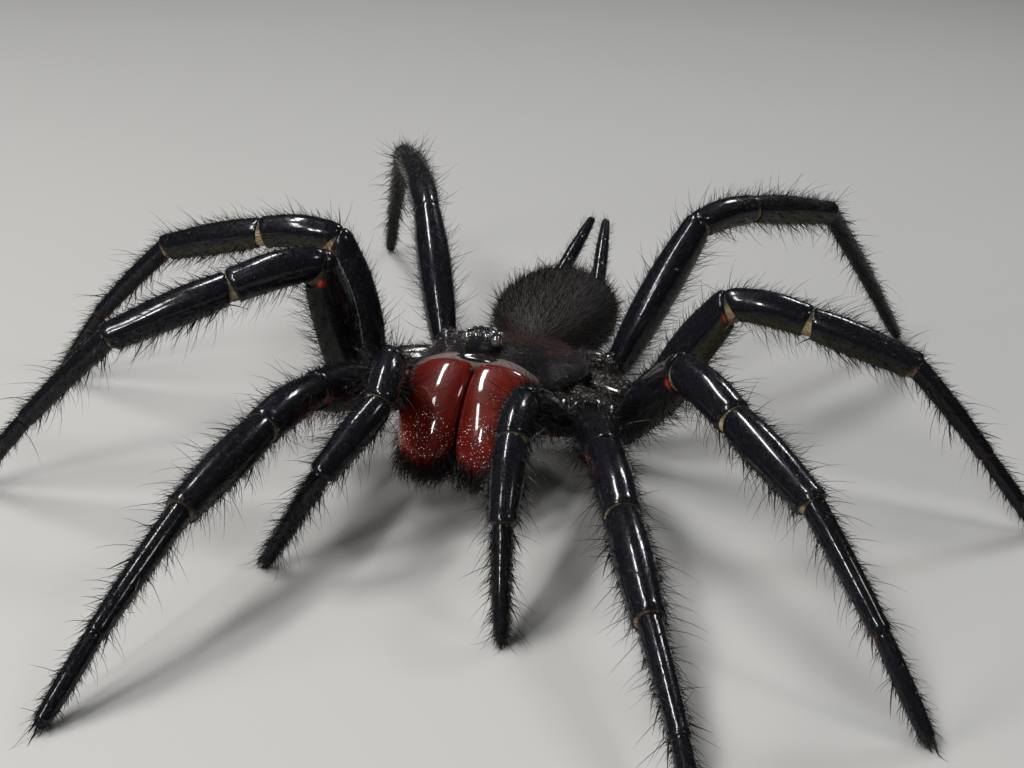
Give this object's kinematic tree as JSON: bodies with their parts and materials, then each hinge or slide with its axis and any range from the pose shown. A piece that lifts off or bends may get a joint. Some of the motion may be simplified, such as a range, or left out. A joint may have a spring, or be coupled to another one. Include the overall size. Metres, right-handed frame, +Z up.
{
  "type": "black funnel-web spider with red jaws",
  "caption": "Life-size still model of a glossy black funnel-web kind of spider with red jaws, standing with its legs spread and its long spinnerets raised.",
  "frame": {"origin": "on the floor, under the middle of the animal's overall box", "axes": "+Z up; the spider faces -Y, and its left side is +X"},
  "size_m": [0.0576, 0.069, 0.0134],
  "materials": {
    "leg_black": "glossy black with a faint blue and violet sheen, finely haired",
    "shell_black": "satin black, covered in fine silvery hair that lies flat",
    "underside_black": "satin brown-black, sparsely haired",
    "abdomen_coat": "grey-brown black, densely haired all over",
    "spinneret_black": "dull black, finely haired",
    "jaw_red": "glossy deep red, paler and rougher along the ridge",
    "fang_black": "polished black",
    "eye_black": "polished black lenses on a shiny black mound",
    "joint_skin": "soft cream and tan skin of the joints, dark red at the feet",
    "dark_hair": "fine black and brown-black hairs, bristles and spines",
    "silver_hair": "fine silvery hairs that lie flat on the carapace"
  },
  "bodies": {
    "root": {"carapace": "shell_black", "abdomen": "abdomen_coat", "sternum": "underside_black", "pedicel": "underside_black", "chelicera_left": "jaw_red", "fang_left": "fang_black", "eyes_left": "eye_black", "spinneret_left": "spinneret_black", "chelicera_right": "jaw_red", "fang_right": "fang_black", "eyes_right": "eye_black", "spinneret_right": "spinneret_black", "palp_femur_left": "leg_black", "palp_tibia_left": "leg_black", "palp_tarsus_left": "leg_black", "leg_1_base_left": "underside_black", "leg_1_femur_left": "leg_black", "leg_1_patella_left": "leg_black", "leg_1_tibia_left": "leg_black", "leg_1_foot_left": "leg_black", "leg_2_base_left": "underside_black", "leg_2_femur_left": "leg_black", "leg_2_patella_left": "leg_black", "leg_2_tibia_left": "leg_black", "leg_2_foot_left": "leg_black", "leg_3_base_left": "underside_black", "leg_3_femur_left": "leg_black", "leg_3_patella_left": "leg_black", "leg_3_tibia_left": "leg_black", "leg_3_foot_left": "leg_black", "leg_4_base_left": "underside_black", "leg_4_femur_left": "leg_black", "leg_4_patella_left": "leg_black", "leg_4_tibia_left": "leg_black", "leg_4_foot_left": "leg_black", "palp_femur_right": "leg_black", "palp_tibia_right": "leg_black", "palp_tarsus_right": "leg_black", "leg_1_base_right": "underside_black", "leg_1_femur_right": "leg_black", "leg_1_patella_right": "leg_black", "leg_1_tibia_right": "leg_black", "leg_1_foot_right": "leg_black", "leg_2_base_right": "underside_black", "leg_2_femur_right": "leg_black", "leg_2_patella_right": "leg_black", "leg_2_tibia_right": "leg_black", "leg_2_foot_right": "leg_black", "leg_3_base_right": "underside_black", "leg_3_femur_right": "leg_black", "leg_3_patella_right": "leg_black", "leg_3_tibia_right": "leg_black", "leg_3_foot_right": "leg_black", "leg_4_base_right": "underside_black", "leg_4_femur_right": "leg_black", "leg_4_patella_right": "leg_black", "leg_4_tibia_right": "leg_black", "leg_4_foot_right": "leg_black"}
  },
  "joints": []
}
